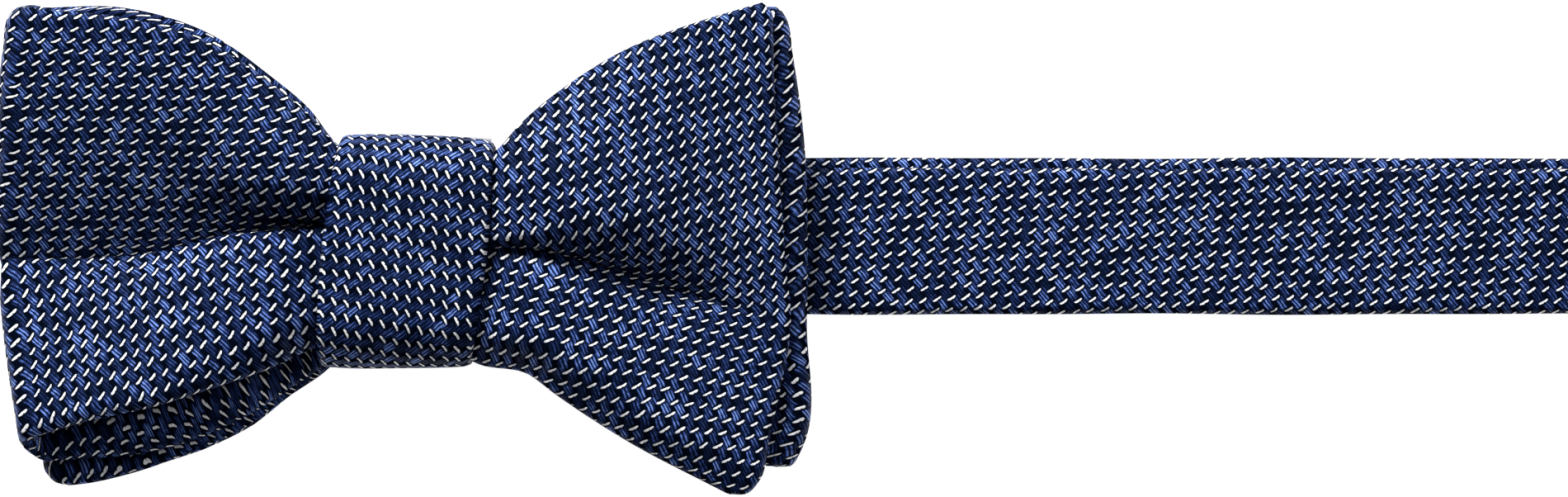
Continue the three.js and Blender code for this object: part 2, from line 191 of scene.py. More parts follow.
def random_of(tree, *parts):
    """A random number from 0 to 1 for each place."""
    node = tree.nodes.new("ShaderNodeTexWhiteNoise")
    tree.links.new(vector_of(tree, *parts), node.inputs["Vector"])
    return Value(tree, node.outputs[0])


def ramp(tree, value, *stops):
    """A colour for each value, between stops of (value, colour)."""
    node = tree.nodes.new("ShaderNodeValToRGB")
    elements = node.color_ramp.elements
    while len(elements) < len(stops):
        elements.new(0.5)
    for element, (place, colour) in zip(elements, stops):
        element.position = place
        element.color = (*colour, 1)
    tree.links.new(value.socket, node.inputs[0])
    return node.outputs[0]


def mixed(tree, share, a, b):
    """Colour a, or b where the share is 1."""
    node = tree.nodes.new("ShaderNodeMix")
    node.data_type = "RGBA"
    connect(tree, share, node.inputs[0])
    tree.links.new(a, node.inputs[6])
    tree.links.new(b, node.inputs[7])
    return node.outputs[2]


def srgb(*parts):
    """A colour given in 0 to 255 as it looks on a screen."""
    return tuple((p / 255 / 12.92) if p < 10 else ((p / 255 + 0.055) / 1.055) ** 2.4 for p in parts)


# The weave, in millimetres and degrees on the flat cloth.
ALONG_REPEAT = (2.0, 0.15)      # from one dash of the weave to the next
ACROSS_REPEAT = (0.27, 1.72)    # from one row of dashes to the next
WANDER = 0.5                    # how far the threads stray from straight lines, from side to side
DASH_ANGLE = 34.0
DASH_HALF_WIDTH = 0.168
DASH_BEND = 0.17
BUNDLE_ANGLE = -51.0
STRAND_WAVE = 14.5              # radians per millimetre across a bundle: one strand is a full turn
# Each bundle of blue strands: its centre, half its length, half its width, its brightness.
BUNDLES = (((0.86, -0.78), 0.8, 0.52, 1.0), ((1.1, 0.1), 0.6, 0.4, 0.5))


def repeated(tree, u, v, offset):
    """The place within one repeat whose centre is moved by offset, and a random number for that repeat."""
    a, b = ALONG_REPEAT, ACROSS_REPEAT
    u, v = u - offset[0], v - offset[1]
    area = a[0] * b[1] - a[1] * b[0]
    s = (u * b[1] - v * b[0]) / area
    t = (v * a[0] - u * a[1]) / area
    column, row = (s + 0.5).floor(), (t + 0.5).floor()
    s, t = s - column, t - row
    return s * a[0] + t * b[0], s * a[1] + t * b[1], random_of(tree, column, row, offset[0])


def turned(dx, dy, degrees):
    """The same offset measured along and beside a line at this angle."""
    c, s = math.cos(math.radians(degrees)), math.sin(math.radians(degrees))
    return dx * c + dy * s, dy * c - dx * s


def pale_dash(tree, u, v):
    """Where the pale thread shows: a bent dash with a notch in its side."""
    dx, dy, luck = repeated(tree, u, v, (0.0, 0.0))
    along, beside = turned(dx, dy, DASH_ANGLE)
    beside = beside - along * along * DASH_BEND + 0.03
    reach = luck * 0.12 + 0.63
    dash = 1.0 - (along.abs() / reach) ** 4.0 - (beside.abs() / DASH_HALF_WIDTH) ** 2.0
    notch = 1.0 - ((along - 0.06) / 0.13) ** 2.0 - ((beside + 0.19) / 0.16) ** 2.0
    return dash.smooth(0.0, 0.35) * (1.0 - notch.smooth(0.0, 0.5) * 0.85)


def blue_bundles(tree, u, v):
    """The brightness and the height of the bundles of blue strands, and the last one's random number."""
    brightness, height = [], []
    for centre, half_length, half_width, gain in BUNDLES:
        dx, dy, luck = repeated(tree, u, v, centre)
        along, beside = turned(dx, dy, BUNDLE_ANGLE)
        body = 1.0 - (along.abs() / half_length) ** 6.0 - (beside.abs() / half_width) ** 6.0
        strands = (beside * STRAND_WAVE + luck * 6.0).cos() * 0.5 + 0.5
        body = body.clamped() ** 0.6
        brightness.append(body * (strands * 0.95 + 0.05) * (luck * 0.8 + 0.42) * gain)
        height.append(body * (strands * 0.25 + 0.75))
    return brightness[0].larger(brightness[1]), height[0].larger(height[1]), luck


def woven_silk():
    material, tree, shader = new_material("pin_dash_silk")
    u, v = cloth_position(tree)
    wander = noise(tree, vector_of(tree, u, v, 0.0), 0.5)
    u = u + (wander - 0.5) * WANDER
    v = v + (noise(tree, vector_of(tree, u, v, 9.0), 0.4) - 0.5) * WANDER
    dash = pale_dash(tree, u, v)
    brightness, height, luck = blue_bundles(tree, u, v)

    slub = noise(tree, vector_of(tree, u * 0.7, v * 1.2, 3.0), 0.3, 4.0)
    fibres = noise(tree, vector_of(tree, u, v, 5.0), 1.7)
    brightness = brightness * (slub.smooth(0.34, 0.66) * 0.65 + 0.5) * (fibres.smooth(0.35, 0.65) * 0.6 + 0.7)
    blue = ramp(
        tree,
        brightness,
        (0.0, srgb(4, 9, 22)),
        (0.25, srgb(15, 27, 60)),
        (0.55, srgb(46, 67, 127)),
        (1.0, srgb(110, 139, 210)),
    )
    white = ramp(tree, luck, (0.0, srgb(222, 224, 230)), (1.0, srgb(250, 250, 252)))
    tree.links.new(mixed(tree, dash, blue, white), shader.inputs["Base Color"])
    tree.links.new((brightness * 0.5).socket, shader.inputs["Specular IOR Level"])
    shader.inputs["Specular Tint"].default_value = (0.3, 0.46, 1.0, 1)
    rough = brightness * -0.15 + dash * 0.15 + 0.58
    tree.links.new(rough.socket, shader.inputs["Roughness"])
    add_bump(tree, shader, height * 0.8 + dash, 0.6, 0.14)
    return material


def felted(name, dark, light, scale):
    """A matt fibrous cloth or thread."""
    material, tree, shader = new_material(name)
    place = tree.nodes.new("ShaderNodeTexCoord").outputs["Object"]
    fibres = noise(tree, place, scale, 6.0, 0.7)
    cloud = noise(tree, place, scale / 12, 3.0)
    colour = ramp(tree, fibres * 0.6 + cloud * 0.4, (0.3, dark), (0.7, light))
    tree.links.new(colour, shader.inputs["Base Color"])
    shader.inputs["Roughness"].default_value = 0.92
    shader.inputs["Sheen Weight"].default_value = 0.25
    add_bump(tree, shader, fibres, 0.5, 0.1)
    return material


def brushed_nickel():
    material, tree, shader = new_material("brushed_nickel")
    place = tree.nodes.new("ShaderNodeTexCoord").outputs["Object"]
    mapping = tree.nodes.new("ShaderNodeMapping")
    mapping.inputs["Scale"].default_value = (900, 9000, 9000)
    tree.links.new(place, mapping.inputs[0])
    lines = noise(tree, mapping.outputs[0], 1.0, 3.0, 0.6)
    wear = noise(tree, place, 260.0, 4.0)
    colour = ramp(tree, wear * 0.7 + lines * 0.3, (0.3, srgb(176, 174, 168)), (0.7, srgb(218, 217, 212)))
    tree.links.new(colour, shader.inputs["Base Color"])
    shader.inputs["Metallic"].default_value = 1.0
    connect(tree, lines * 0.18 + wear * 0.12 + 0.14, shader.inputs["Roughness"])
    add_bump(tree, shader, lines, 0.2, 0.02)
    return material


SILK = woven_silk()
LINING_RIM = felted("interlining_rim", srgb(112, 113, 118), srgb(158, 159, 162), 2500.0)
THREAD = felted("sewing_thread", srgb(10, 16, 44), srgb(44, 60, 120), 4000.0)
NICKEL = brushed_nickel()

# ---- meshes -------------------------------------------------------------------------------------


def smoothstep(t):
    t = np.clip(t, 0.0, 1.0)
    return t * t * (3 - 2 * t)


def curve_through(points):
    """A smooth function of 0 to 1 along given points, spaced by their distance."""
    points = np.array(points, float)
    gaps = np.linalg.norm(np.diff(points, axis=0), axis=1)
    place = np.concatenate([[0], np.cumsum(gaps)]) / gaps.sum()
    slopes = np.gradient(points, place, axis=0)

    def at(t):
        t = np.clip(np.asarray(t, float), 0, 1)
        k = np.clip(np.searchsorted(place, t, side="right") - 1, 0, len(place) - 2)
        span = (place[k + 1] - place[k])[..., None]
        s = ((t - place[k])[..., None]) / span
        a, b, m, n = points[k], points[k + 1], slopes[k] * span, slopes[k + 1] * span
        start = a * (1 + 2 * s) * (1 - s) ** 2 + m * s * (1 - s) ** 2
        return start + b * s**2 * (3 - 2 * s) + n * s**2 * (s - 1)

    return at


def unit(v):
    return v / np.maximum(np.linalg.norm(v, axis=-1, keepdims=True), 1e-9)


def arc_from(points, axis):
    """The length along one axis of a grid of points, from its first row."""
    steps = np.linalg.norm(np.diff(points, axis=axis), axis=-1)
    shape = list(points.shape[:-1])
    shape[axis] = 1
    return np.concatenate([np.zeros(shape), np.cumsum(steps, axis=axis)], axis=axis)


def build(name, vertices, faces, uvs, material, smooth=True):
    """An object from vertices in millimetres, with each face's places on the cloth if it has any."""
    mesh = bpy.data.meshes.new(name)
    mesh.from_pydata((np.asarray(vertices) * MM).tolist(), [], faces)
    if uvs is not None:
        layer = mesh.uv_layers.new(name="grain")
        flat = np.array([uv for face in uvs for uv in face], np.float32)
        layer.data.foreach_set("uv", flat.ravel())
    mesh.materials.append(material)
    mesh.polygons.foreach_set("use_smooth", [smooth] * len(mesh.polygons))
    mesh.validate()
    mesh.update()
    obj = bpy.data.objects.new(name, mesh)
    scene.collection.objects.link(obj)
    return obj


def skin(name, rings, uvs, material):
    """A closed solid through rings of points: rings[i][j], with a flat cap on its first and last ring."""
    count, size = rings.shape[:2]
    vertices = rings.reshape(-1, 3)
    faces, face_uvs = [], []
    for i in range(count - 1):
        for j in range(size):
            k = (j + 1) % size
            faces.append((i * size + j, i * size + k, (i + 1) * size + k, (i + 1) * size + j))
            face_uvs.append((uvs[i, j], uvs[i, j + 1], uvs[i + 1, j + 1], uvs[i + 1, j]))
    half = size // 2
    for ring, flip in ((0, False), (count - 1, True)):
        for j in range(half - 1):
            quad = [(ring, j), (ring, size - 1 - j), (ring, size - 2 - j), (ring, j + 1)]
            quad = quad[::-1] if flip else quad
            faces.append(tuple(i * size + q for i, q in quad))
            face_uvs.append(tuple(uvs[i, q] for i, q in quad))
    return build(name, vertices, faces, face_uvs, material)


def padded_strip(name, middle, normal, grain, thickness, material, end_round=True):
    """A soft flat tube along a grid of middle points [station, lane], rounded at its edges and ends.

    The grain is given on the middle surface, and stretched by how much longer the way over a round rim is.
    """
    stations, lanes = middle.shape[:2]
    half = thickness / 2
    distance = arc_from(middle, 1)
    to_edge = np.minimum(distance, distance[:, -1:] - distance)
    round_width = 1.5 * half
    level = np.sqrt(np.clip(1 - (1 - np.clip(to_edge / round_width, 0, 1)) ** 2, 0.0, 1))
    if end_round:
        length = arc_from(middle, 0)
        to_end = np.minimum(length, length[-1:] - length)
        level = level * np.sqrt(np.clip(1 - (1 - np.clip(to_end / (1.2 * half), 0, 1)) ** 2, 0.02, 1))
    lift = normal * (half * level)[..., None]
    top = middle + lift
    bottom = middle - lift
    rings = np.concatenate([top, bottom[:, ::-1]], axis=1)
    near_edge = (to_edge[:, 1:] + to_edge[:, :-1]) / 2 < round_width
    longer = np.diff(arc_from(top, 1) - distance, axis=1) * near_edge
    round_rim = np.concatenate([np.zeros((stations, 1)), np.cumsum(longer, axis=1)], axis=1)
    grain = grain.copy()
    grain[..., 1] += round_rim - round_rim[:, lanes // 2, None]
    under = grain[:, ::-1] * np.array([1.0, -1.0]) + np.array([0.0, 1.0]) * (2 * grain[:, -1:, 1:])
    uvs = np.concatenate([grain, under], axis=1)
    uvs = np.concatenate([uvs, uvs[:, -1:] + np.array([0.0, 0.2])], axis=1)
    return skin(name, rings, uvs, material)


# ---- bow strips ---------------------------------------------------------------------------------

LEAF = 2.2                      # thickness of one padded leaf
FOLD_R = LEAF / 2 + 0.22        # of a loop's fold, with a small gap between its leaves
STATIONS_PER_LEAF = 110         # points along each leaf
LANES = 130                     # points across it


def wing_leaf(top, bottom, end):
    """A leaf from the waist (share 0) to the end of the wing (share 1), filled in between its outlines."""
    top, bottom, end = curve_through(top), curve_through(bottom), curve_through(end)

    def at(share, lane):
        s, l = np.meshgrid(share, (lane + 1) / 2, indexing="ij")
        t, b, e = top(s), bottom(s), end(l)
        waist = (1 - l)[..., None] * bottom(s * 0) + l[..., None] * top(s * 0)
        s, l = s[..., None], l[..., None]
        corners = (1 - s) * waist + s * ((1 - l) * end(l[..., 0] * 0) + l * end(l[..., 0] * 0 + 1))
        return (1 - l) * b + l * t + (1 - s) * waist + s * e - corners

    return at


FRONT_LEFT_RIM = [
    (0, -11.3), (-7, -12), (-10.5, -12.7), (-14, -14), (-19, -16.4), (-27.4, -19.3), (-34.2, -21.4),
    (-44.6, -23.7), (-51.4, -25.8),
]
MIDDLE_LEFT_RIM = [
    (0, -11.3), (-6, -12.2), (-11, -15.6), (-16, -18.9), (-22, -22.8), (-29.2, -26.1), (-38.4, -28.4),
    (-45.2, -28.9), (-50.2, -29.2),
]
FRONT_LEFT = wing_leaf(
    top=[
        (0, 11.3), (-6, 12.2), (-9.5, 14.3), (-13, 18.2), (-18, 22.4), (-27, 28.6), (-40, 32.3),
        (-50.6, 33.2),
    ],
    bottom=FRONT_LEFT_RIM,
    end=[(-51.4, -25.8), (-53, -15), (-54.4, 0), (-54.2, 12), (-53.2, 28), (-52.4, 32), (-50.6, 33.2)],
)
MIDDLE_LEFT = wing_leaf(
    top=[
        (0, 11.3), (-6, 12.2), (-9.7, 14.7), (-14, 20), (-19, 24.2), (-28, 30.4), (-40, 33.9),
        (-50.6, 33.9),
    ],
    bottom=MIDDLE_LEFT_RIM,
    end=[(-50.2, -29.2), (-53, -15), (-54.4, 0), (-54.2, 12), (-53.2, 28), (-52.4, 32.6), (-50.6, 33.9)],
)
REAR_LEFT = wing_leaf(
    top=[(0, 11.3), (-6, 12.2), (-10, 14.3), (-14.5, 19.5), (-20, 24), (-29, 30), (-40, 33), (-51, 33.2)],
    bottom=[
        (0, -11.3), (-6, -12.2), (-12.5, -17.5), (-17, -20.5), (-22.7, -24.6), (-29.8, -27.9),
        (-39.6, -31.3), (-44.6, -32.4), (-47.2, -32.7),
    ],
    end=[
        (-47.2, -32.7), (-49.2, -32.2), (-50.5, -30.8), (-51.4, -27), (-52.4, -15), (-53.2, 0),
        (-53, 12), (-51, 33.6),
    ],
)
FRONT_RIGHT = wing_leaf(
    top=[(0, 11.3), (6, 11.8), (12.2, 13.6), (16, 17.6), (21, 22), (30.5, 28), (41, 32), (49.3, 34.5)],
    bottom=[(0, -11.3), (5, -12.4), (9.5, -15.6), (17, -17.2), (20.4, -19.7), (30, -26), (44.6, -33.8)],
    end=[
        (44.6, -33.8), (47.2, -33.7), (49, -31.8), (50.2, -26.6), (51.8, -19.3), (53.1, -12.7), (53.3, -9.2),
        (52.7, -3), (52.2, 4), (51.7, 12), (51, 23.4), (50.8, 30), (50.5, 33.4), (49.3, 34.5),
    ],
)
MIDDLE_RIGHT = wing_leaf(
    top=[(0, 11.3), (6, 11.8), (12.2, 13.4), (16, 17), (21, 21), (30.5, 27), (41, 31.2), (48.8, 34)],
    bottom=[(0, -11.3), (5, -12.2), (9.5, -14.8), (17, -17), (22, -20), (31, -25.2), (50, -30)],
    end=[
        (50, -30), (52.2, -27), (52.8, -10), (52.9, 2.5), (52.4, 15.5), (50.8, 27.5), (50.1, 32),
        (48.8, 34),
    ],
)
REAR_RIGHT = wing_leaf(
    top=[(0, 11.3), (6, 11.8), (12.2, 13.4), (16, 17), (21, 21), (30.5, 26.8), (41, 31), (48.4, 33.8)],
    bottom=[(0, -11.3), (5, -12.2), (9.5, -14.8), (17, -17), (22, -20), (31, -25.4), (51.2, -30.2)],
    end=[
        (51.2, -30.2), (52.4, -27), (52.8, -10), (52.9, 2.5), (52.4, 15.5), (50.8, 27.5), (49.9, 32),
        (48.4, 33.8),
    ],
)

# Heights of the middles of the leaves.
REAR_Z = 7.3
MIDDLE_Z = 10.0
FRONT_Z = 12.9
REAR_MIDDLE_Z = REAR_Z + 2 * FOLD_R
FOLD_STEPS = 14                 # points round a fold
FOLD_REACH = 1.7                # the furthest that a fold bows out past the ends of its leaves


def pleat_line(x):
    """The height at which the front leaf dives between its two lobes."""
    left = [(0, 3.3), (12.5, 2.6), (19.7, 1.6), (24.7, 1.1), (29.7, 0.2), (34.7, -0.6), (45, -1)]
    right = [
        (0, 1.2), (11, 0.6), (16, 0.1), (23.7, -1.9), (28.9, -2.6), (32.4, -3.7), (36.2, -4.8), (54, -11),
    ]
    return np.where(x < 0, np.interp(-x, *zip(*left)), np.interp(x, *zip(*right)))


def between(x, near, far, start=12.0, stop=38.0):
    """A value that changes from beside the knot to the outer part of a wing."""
    return near + (far - near) * smoothstep((np.abs(x) - start) / (stop - start))


def lobe(t, peak, edge, sharp):
    """A lobe's height from the valley (t = 0) over its peak to the edge of the leaf (t = 1)."""
    rise = 1 - np.clip(1 - t / peak, 0, 1) ** sharp
    fall = (1 - edge) * np.clip((t - peak) / (1 - peak), 0, 1) ** 1.8
    return rise - fall


def front_shape(hole, fade, upper_end, lower_end, floor_end, upper_far, lower_far):
    """The front leaf: an upper lobe, a valley, and a lower lobe with a lip that overhangs the valley.

    hole: how far the valley reaches up from the pleat line beside the knot, and how that grows outwards.
    fade: the two distances from the knot's middle between which the lip and the valley die away.
    upper_end, lower_end, floor_end: heights of the lobes and the valley at the end of the wing.
    upper_far, lower_far: each lobe's peak, edge and sharpness on the outer part of the wing.
    """

    def at(x, y, lane):
        line = pleat_line(x)
        d = y - line
        above, below = np.clip(d, 0, None), np.clip(-d, 0, None)
        up, down = above / (y[:, -1:] - line), below / (line - y[:, :1])
        puff = 3.3 + 4.9 * smoothstep((np.abs(x) - 9) / 12)
        upper = between(x, puff, upper_end, 24, 54)
        lower = between(x, puff, lower_end, 24, 54)
        valley = between(x, -0.6, floor_end, *fade)
        reach = hole[0] + hole[1] * np.clip(np.abs(x) - 12, 0, 30)
        wall = 1 - np.exp(-((above / reach) ** 3))
        near = wall * (1 - 0.6 * np.clip((up - 0.5) / 0.5, 0, 1) ** 1.8)
        rise_up = between(x, near, lobe(up, *upper_far), 14, 32)
        crisp = between(x, 0.85, 0.0, *fade)
        lip = 1 - np.exp(-((below / between(x, 0.9, 3.5, *fade)) ** 1.5))
        turned_under = between(x, 0.6, 1 - lower_far[1], 12, 24) * smoothstep((down - 0.7) / 0.3)
        far = between(x, lobe(down, 0.5, 0.2, 2.4), lobe(down, *lower_far))
        rise_down = crisp * lip * (0.75 + 0.25 * down) * (1 - turned_under) + (1 - crisp) * far
        z = FRONT_Z + valley + np.where(d > 0, (upper - valley) * rise_up, (lower - valley) * rise_down)
        overhang = between(x, 1.0, 0.0, *fade) * np.exp(-(((d + 1.1) / 0.9) ** 2))
        shift = overhang * smoothstep((np.abs(x) - 6) / 6)
        return shift, z

    return at


def level_shape(level, end_rise=0.0):
    """A flat leaf that may rise towards the end of its wing."""
    return lambda x, y, lane: (0 * x, level + end_rise * smoothstep((np.abs(x) - 42) / 9))


def flat_shape(level, rise, edge):
    """A flat leaf whose rim curls forwards where it comes out from under the edge of the leaf over it."""
    edge = np.array(sorted(edge))

    def at(x, y, lane):
        out = np.interp(x, edge[:, 0], edge[:, 1]) - y
        return 0 * x, level + rise * smoothstep((out + 1.0) / 3.0) * smoothstep((np.abs(x) - 12) / 12)

    return at


def placed(plan, lane, shape):
    """The points of one leaf as x, y, z and the height above the pleat line."""
    x, y = plan[..., 0], plan[..., 1]
    shift, z = shape(x, y, lane)
    return np.dstack([x, y + shift, z, y - pleat_line(x)])


def strip_grid(leaves, shapes, up, side):
    """The middle surface of one bow strip: its flat end, the leaf to the fold, the fold, the leaf back."""
    lane = np.linspace(-1, 1, LANES)
    lane = np.sign(lane) * np.abs(lane) ** 0.94
    share = np.linspace(0, 1, STATIONS_PER_LEAF)
    flat = placed(leaves[0](share[::-1], lane), lane, shapes[0])
    out = placed(leaves[1](share[1:], lane), lane, shapes[1])
    back = leaves[2](share[::-1], lane)
    back[..., 0] = np.where(np.abs(back[..., 0]) < 0.3, side * 0.3, back[..., 0])
    back = placed(back, lane, shapes[2])
    turn = np.linspace(0, np.pi, FOLD_STEPS + 2)[1:-1]
    centre, arm = (out[-1] + back[0]) / 2, (out[-1] - back[0]) / 2
    fold = centre + arm * np.cos(turn)[:, None, None]
    fold[..., 0] += side * np.minimum(np.abs(arm[:, 2]), FOLD_REACH) * np.sin(turn)[:, None]
    grid = np.concatenate([flat, out, fold, back])
    middle, rise = grid[..., :3], grid[..., 3]
    normal = unit(np.cross(np.gradient(middle, axis=0), np.gradient(middle, axis=1)))
    if normal[0, LANES // 2, 2] * up < 0:
        normal = -normal
    return middle, rise, normal


# Degrees that the rows of dashes open beside the knot and at the wing's end, on the left and the right.
UPPER_FAN = ((10, 4), (9, 13))
LOWER_FAN = ((12, 15), (11, 11))
FAN_START, FAN_END, FAN_STEP = 8, 50, 0.25      # distances from the knot's middle
# How much closer together than their repeat the dashes lie along each wing.
LEFT_DENSE, RIGHT_DENSE = 1.02, 1.07


def fanned(x, left, right):
    """How far rows that open at these angles (beside the knot, at the end) have spread, and their slope."""
    reach = np.arange(0, 60, FAN_STEP)
    last = round(FAN_END / FAN_STEP)
    spread, slope = [], []
    for angles in (left, right):
        tangent = np.tan(np.radians(np.interp(reach, [FAN_START, FAN_END], angles)))
        total = np.cumsum(tangent) * FAN_STEP
        spread.append(np.interp(np.abs(x), reach, total[last] - total))
        slope.append(np.interp(np.abs(x), reach, tangent))
    return np.where(x < 0, *spread), np.where(x < 0, *slope)


def grain_of(middle, rise, fans, square):
    """Where each point lies on the cloth: rows run out of the waist and open like a fan from the pleat.

    fans says how far the rows of each leaf open, as a share of the front leaf's. The last leaf's grain
    follows on from the fold, but for the share of its width at its lower edge where it stays square.
    """
    centre = LANES // 2
    x = middle[..., 0]
    steps = np.diff(middle[:, centre], axis=0)
    steps[:, 0] *= np.where(x[1:, centre] < 0, LEFT_DENSE, RIGHT_DENSE)
    steps[: 2 * STATIONS_PER_LEAF - 1, 1:] = 0
    steps[2 * STATIONS_PER_LEAF + FOLD_STEPS - 1 :, 1:] = 0
    length = np.concatenate([[0], np.cumsum(np.linalg.norm(steps, axis=1))])
    leaf, fold = STATIONS_PER_LEAF, FOLD_STEPS
    first, second, third = fans
    opening = np.repeat([first, second, third], [leaf, leaf - 1 + fold, leaf])
    upper, upper_slope = (opening[:, None] * part for part in fanned(x, *UPPER_FAN))
    lower, lower_slope = (opening[:, None] * part for part in fanned(x, *LOWER_FAN))
    share = 0.5 + 0.5 * np.tanh(rise / np.interp(np.abs(x), [10, 35, 52], [0.9, 2.2, 5]))
    crowd = np.where(x < 0, 0.86 + 0.26 * share, 0.96 - 0.015 * share)
    v = rise * crowd + pleat_line(x) + share * upper - (1 - share) * lower
    slope = np.sign(x) * ((1 - share) * lower_slope - share * upper_slope)
    ahead = (x - x[:, centre : centre + 1] - slope * rise) * np.sign(x[0, centre])
    before, after = 2 * leaf - 2, 2 * leaf - 1 + fold
    longer = length[:, None] - arc_from(middle, 0)
    ahead[before + 1 : after] = ahead[before] + longer[before + 1 : after] - longer[before]
    fade = 1 - smoothstep(np.linspace(0, 1, leaf))[:, None]
    follows = smoothstep((np.linspace(0, 1, LANES) - square) / 0.15)
    ahead[after:] = (ahead[after - 1] + ahead[after]) * fade * follows - ahead[after:]
    return np.dstack([ahead - length[:, None], v])


def bow_strip(name, leaves, shapes, fans, square, up, side):
    """One strip of the bow, its fold on the wing that side (1 or -1) says.

    up: 1 where the outer face of its flat end looks forwards, -1 where it looks back.
    """
    middle, rise, normal = strip_grid(leaves, shapes, up, side)
    grain = grain_of(middle, rise, fans, square)
    silk = padded_strip(f"{name}_silk_cloth", middle, normal, grain, LEAF, SILK)
    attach(silk, "bow")
    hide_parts(f"{name}_silk", f"{name}_interlining")
    length = float(arc_from(middle, 0)[:, LANES // 2][-1]) * MM
    width = float(np.median(arc_from(middle, 1)[:, -1])) * MM
    return silk, length, width


LEFT_FRONT = front_shape((3.3, 0.25), (22, 46), 7.0, 4.0, -0.6, (0.96, 0.93, 2.0), (0.92, 0.85, 1.15))
RIGHT_FRONT = front_shape((0.7, 0.18), (19, 38), 0.5, 0.8, 0.1, (0.3, 0.3, 2.2), (0.85, 0.7, 1.3))

front_bow, front_length, front_width = bow_strip(
    "front_bow",
    (FRONT_RIGHT, FRONT_LEFT, MIDDLE_LEFT),
    (RIGHT_FRONT, LEFT_FRONT, flat_shape(MIDDLE_Z, 2.6, FRONT_LEFT_RIM)),
    (1, 1, 0.2),
    0.22,
    1,
    -1,
)
rear_bow, rear_length, rear_width = bow_strip(
    "rear_bow",
    (REAR_LEFT, REAR_RIGHT, MIDDLE_RIGHT),
    (flat_shape(REAR_Z, 3.0, MIDDLE_LEFT_RIM), level_shape(REAR_Z), level_shape(REAR_MIDDLE_Z, 0.7)),
    (0.2, 1, 1),
    -0.15,
    -1,
    1,
)

# ---- knot ---------------------------------------------------------------------------------------

KNOT_BACK_Z = 1.7
KNOT_FRONT_Z = 19.6
KNOT_THICKNESS = 1.7
KNOT_HALF_HEIGHT = 16.1
KNOT_HALF_WIDTH = 11.5
KNOT_BACK_ROUND = 3.2           # radius of its two edges at the back
KNOT_FRONT_ROUND = 7.0          # and at the front
KNOT_STATIONS = 260             # points round it
KNOT_LANES = 60                 # points across it


def knot_path(count, inset):
    """A loop round the X axis as (y, z), starting and ending at the seam on the back."""
    half, back, front = KNOT_HALF_HEIGHT - inset, KNOT_BACK_Z + inset, KNOT_FRONT_Z - inset
    r_back, r_front = KNOT_BACK_ROUND - inset, KNOT_FRONT_ROUND - inset
    points = [(-9.4, back), (half - r_back, back)]
    corners = (
        (half - r_back, back + r_back, r_back, -90),
        (half - r_front, front - r_front, r_front, 0),
        (-half + r_front, front - r_front, r_front, 90),
        (-half + r_back, back + r_back, r_back, 180),
    )
    for y, z, r, start in corners:
        for angle in np.radians(np.linspace(start, start + 90, 24)):
            points.append((y + r * math.cos(angle), z + r * math.sin(angle)))
    points.append((-9.6, back))
    points = np.array(points)
    place = np.concatenate([[0], np.cumsum(np.linalg.norm(np.diff(points, axis=0), axis=1))])
    at = np.linspace(0, place[-1], count)
    return np.column_stack([np.interp(at, place, points[:, 0]), np.interp(at, place, points[:, 1])])


def knot():
    path = knot_path(KNOT_STATIONS, KNOT_THICKNESS / 2)
    lane = np.linspace(-1, 1, KNOT_LANES)
    y, z = path[:, 0][:, None], path[:, 1][:, None]
    front = smoothstep((z - 8) / 9)
    half_width = KNOT_HALF_WIDTH - 0.9 * (y / 16) ** 2
    x = 0.1 * y - 0.2 + lane * half_width + 0 * z
    drop = 0.8 * ((lane + 1) / 2) ** 1.5 * smoothstep((y - 2) / 14)
    puff = 0.75 * (1 - np.abs(lane) ** 3) - 0.15
    flow = unit(np.gradient(path, axis=0))
    out = np.column_stack([flow[:, 1], -flow[:, 0]])
    dents = 0.16 * np.sin(y / 3.1 + 1.3 * lane) * np.sin(2.2 * lane + y / 7) * front
    push = (puff * front + dents)[..., None] * out[:, None, :]
    middle = np.dstack([x, y + push[..., 0] - drop, z + push[..., 1]])
    normal = np.dstack([np.zeros_like(x), *(np.broadcast_to(out[:, k : k + 1], x.shape) for k in (0, 1))])
    u = arc_from(middle, 0)[:, KNOT_LANES // 2, None] + 0 * x
    grain = np.dstack([-u, 0.1 * y - x])
    silk = padded_strip("knot_silk_cloth", middle, normal, grain, KNOT_THICKNESS, SILK)
    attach(silk, "bow")
    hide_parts("knot_wrap_silk", "knot_wrap_interlining")
    return silk


def knot_lining():
    """The rim of the knot's interlining, showing over the silk's top edge."""
    share = np.linspace(0, 1, 30)
    lane = np.linspace(0, 1, 8)
    x = (-4.6 + 16.2 * share)[:, None] + 0 * lane
    rim = 16.5 - 0.95 * share + 0.12 * np.sin(share * 9) - 0.9 * (1 - smoothstep(share / 0.25))
    y = 14.4 + (rim[:, None] - 14.4) * lane
    z = 11.4 - 2.2 * lane + 0 * x
    middle = np.dstack([x, y, z])
    normal = np.broadcast_to(unit(np.array([0.0, 0.7, 0.7])), middle.shape)
    grain = np.dstack([x, y])
    rim_piece = padded_strip("knot_interlining_rim", middle, normal, grain, 0.3, LINING_RIM)
    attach(rim_piece, "bow")
    return rim_piece


knot_silk = knot()
knot_rim = knot_lining()

# ---- neck band ----------------------------------------------------------------------------------

